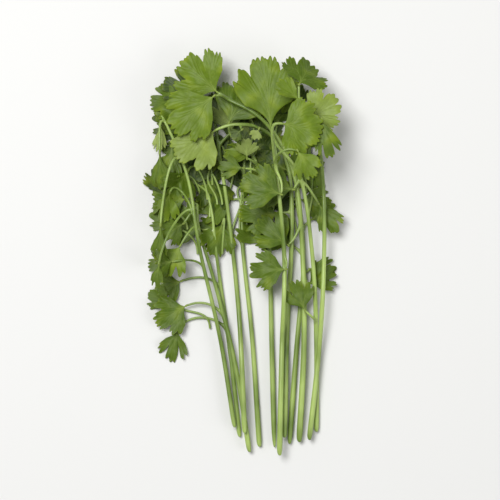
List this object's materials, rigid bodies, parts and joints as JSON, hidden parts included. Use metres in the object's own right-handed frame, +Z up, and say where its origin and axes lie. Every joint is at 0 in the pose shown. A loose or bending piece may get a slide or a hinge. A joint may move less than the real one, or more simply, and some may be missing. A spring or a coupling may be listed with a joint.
{
  "type": "coriander bunch",
  "caption": "Bunch of cut coriander lying flat: slender green stems laid together, with branching stalks and broad three-lobed toothed leaves gathered at one end.",
  "frame": {"origin": "centre of the bunch's outline, on the surface it lies on", "axes": "+Z up, +Y along the stems from the cut ends to the leaf tips, +X across the bunch"},
  "size_m": [0.0776, 0.1626, 0.033],
  "materials": {
    "leaf": "thin fresh green leaf blade, satin, slightly translucent, finely veined",
    "stem": "fresh juicy light green stem, satin, faintly ribbed"
  },
  "bodies": {
    "root": {"leaf_01_a": "leaf", "leaf_01_b": "leaf", "leaf_01_c": "leaf", "leaf_01_d": "leaf", "leaf_02_a": "leaf", "leaf_02_b": "leaf", "leaf_02_c": "leaf", "leaf_02_d": "leaf", "leaf_03_a": "leaf", "leaf_03_b": "leaf", "leaf_03_c": "leaf", "leaf_03_d": "leaf", "leaf_04_a": "leaf", "leaf_04_b": "leaf", "leaf_04_c": "leaf", "leaf_04_d": "leaf", "leaf_05_a": "leaf", "leaf_05_b": "leaf", "leaf_05_c": "leaf", "leaf_05_d": "leaf", "leaf_06_a": "leaf", "leaf_06_b": "leaf", "leaf_06_c": "leaf", "leaf_06_d": "leaf", "leaf_07_a": "leaf", "leaf_07_b": "leaf", "leaf_07_c": "leaf", "leaf_07_d": "leaf", "leaf_08_a": "leaf", "leaf_08_b": "leaf", "leaf_08_c": "leaf", "leaf_08_d": "leaf", "leaf_09_a": "leaf", "leaf_09_b": "leaf", "leaf_09_c": "leaf", "leaf_09_d": "leaf", "leaf_10_a": "leaf", "leaf_10_b": "leaf", "leaf_10_c": "leaf", "leaf_10_d": "leaf", "leaf_11_a": "leaf", "leaf_11_b": "leaf", "leaf_11_c": "leaf", "leaf_11_d": "leaf", "leaf_12_a": "leaf", "leaf_12_b": "leaf", "leaf_12_c": "leaf", "leaf_12_d": "leaf", "stem_01": "stem", "stem_02": "stem", "stem_03": "stem", "stem_04": "stem", "stem_05": "stem", "stem_06": "stem", "stem_07": "stem", "stem_08": "stem", "stem_09": "stem", "stem_10": "stem", "stem_11": "stem", "stem_12": "stem"}
  },
  "joints": []
}
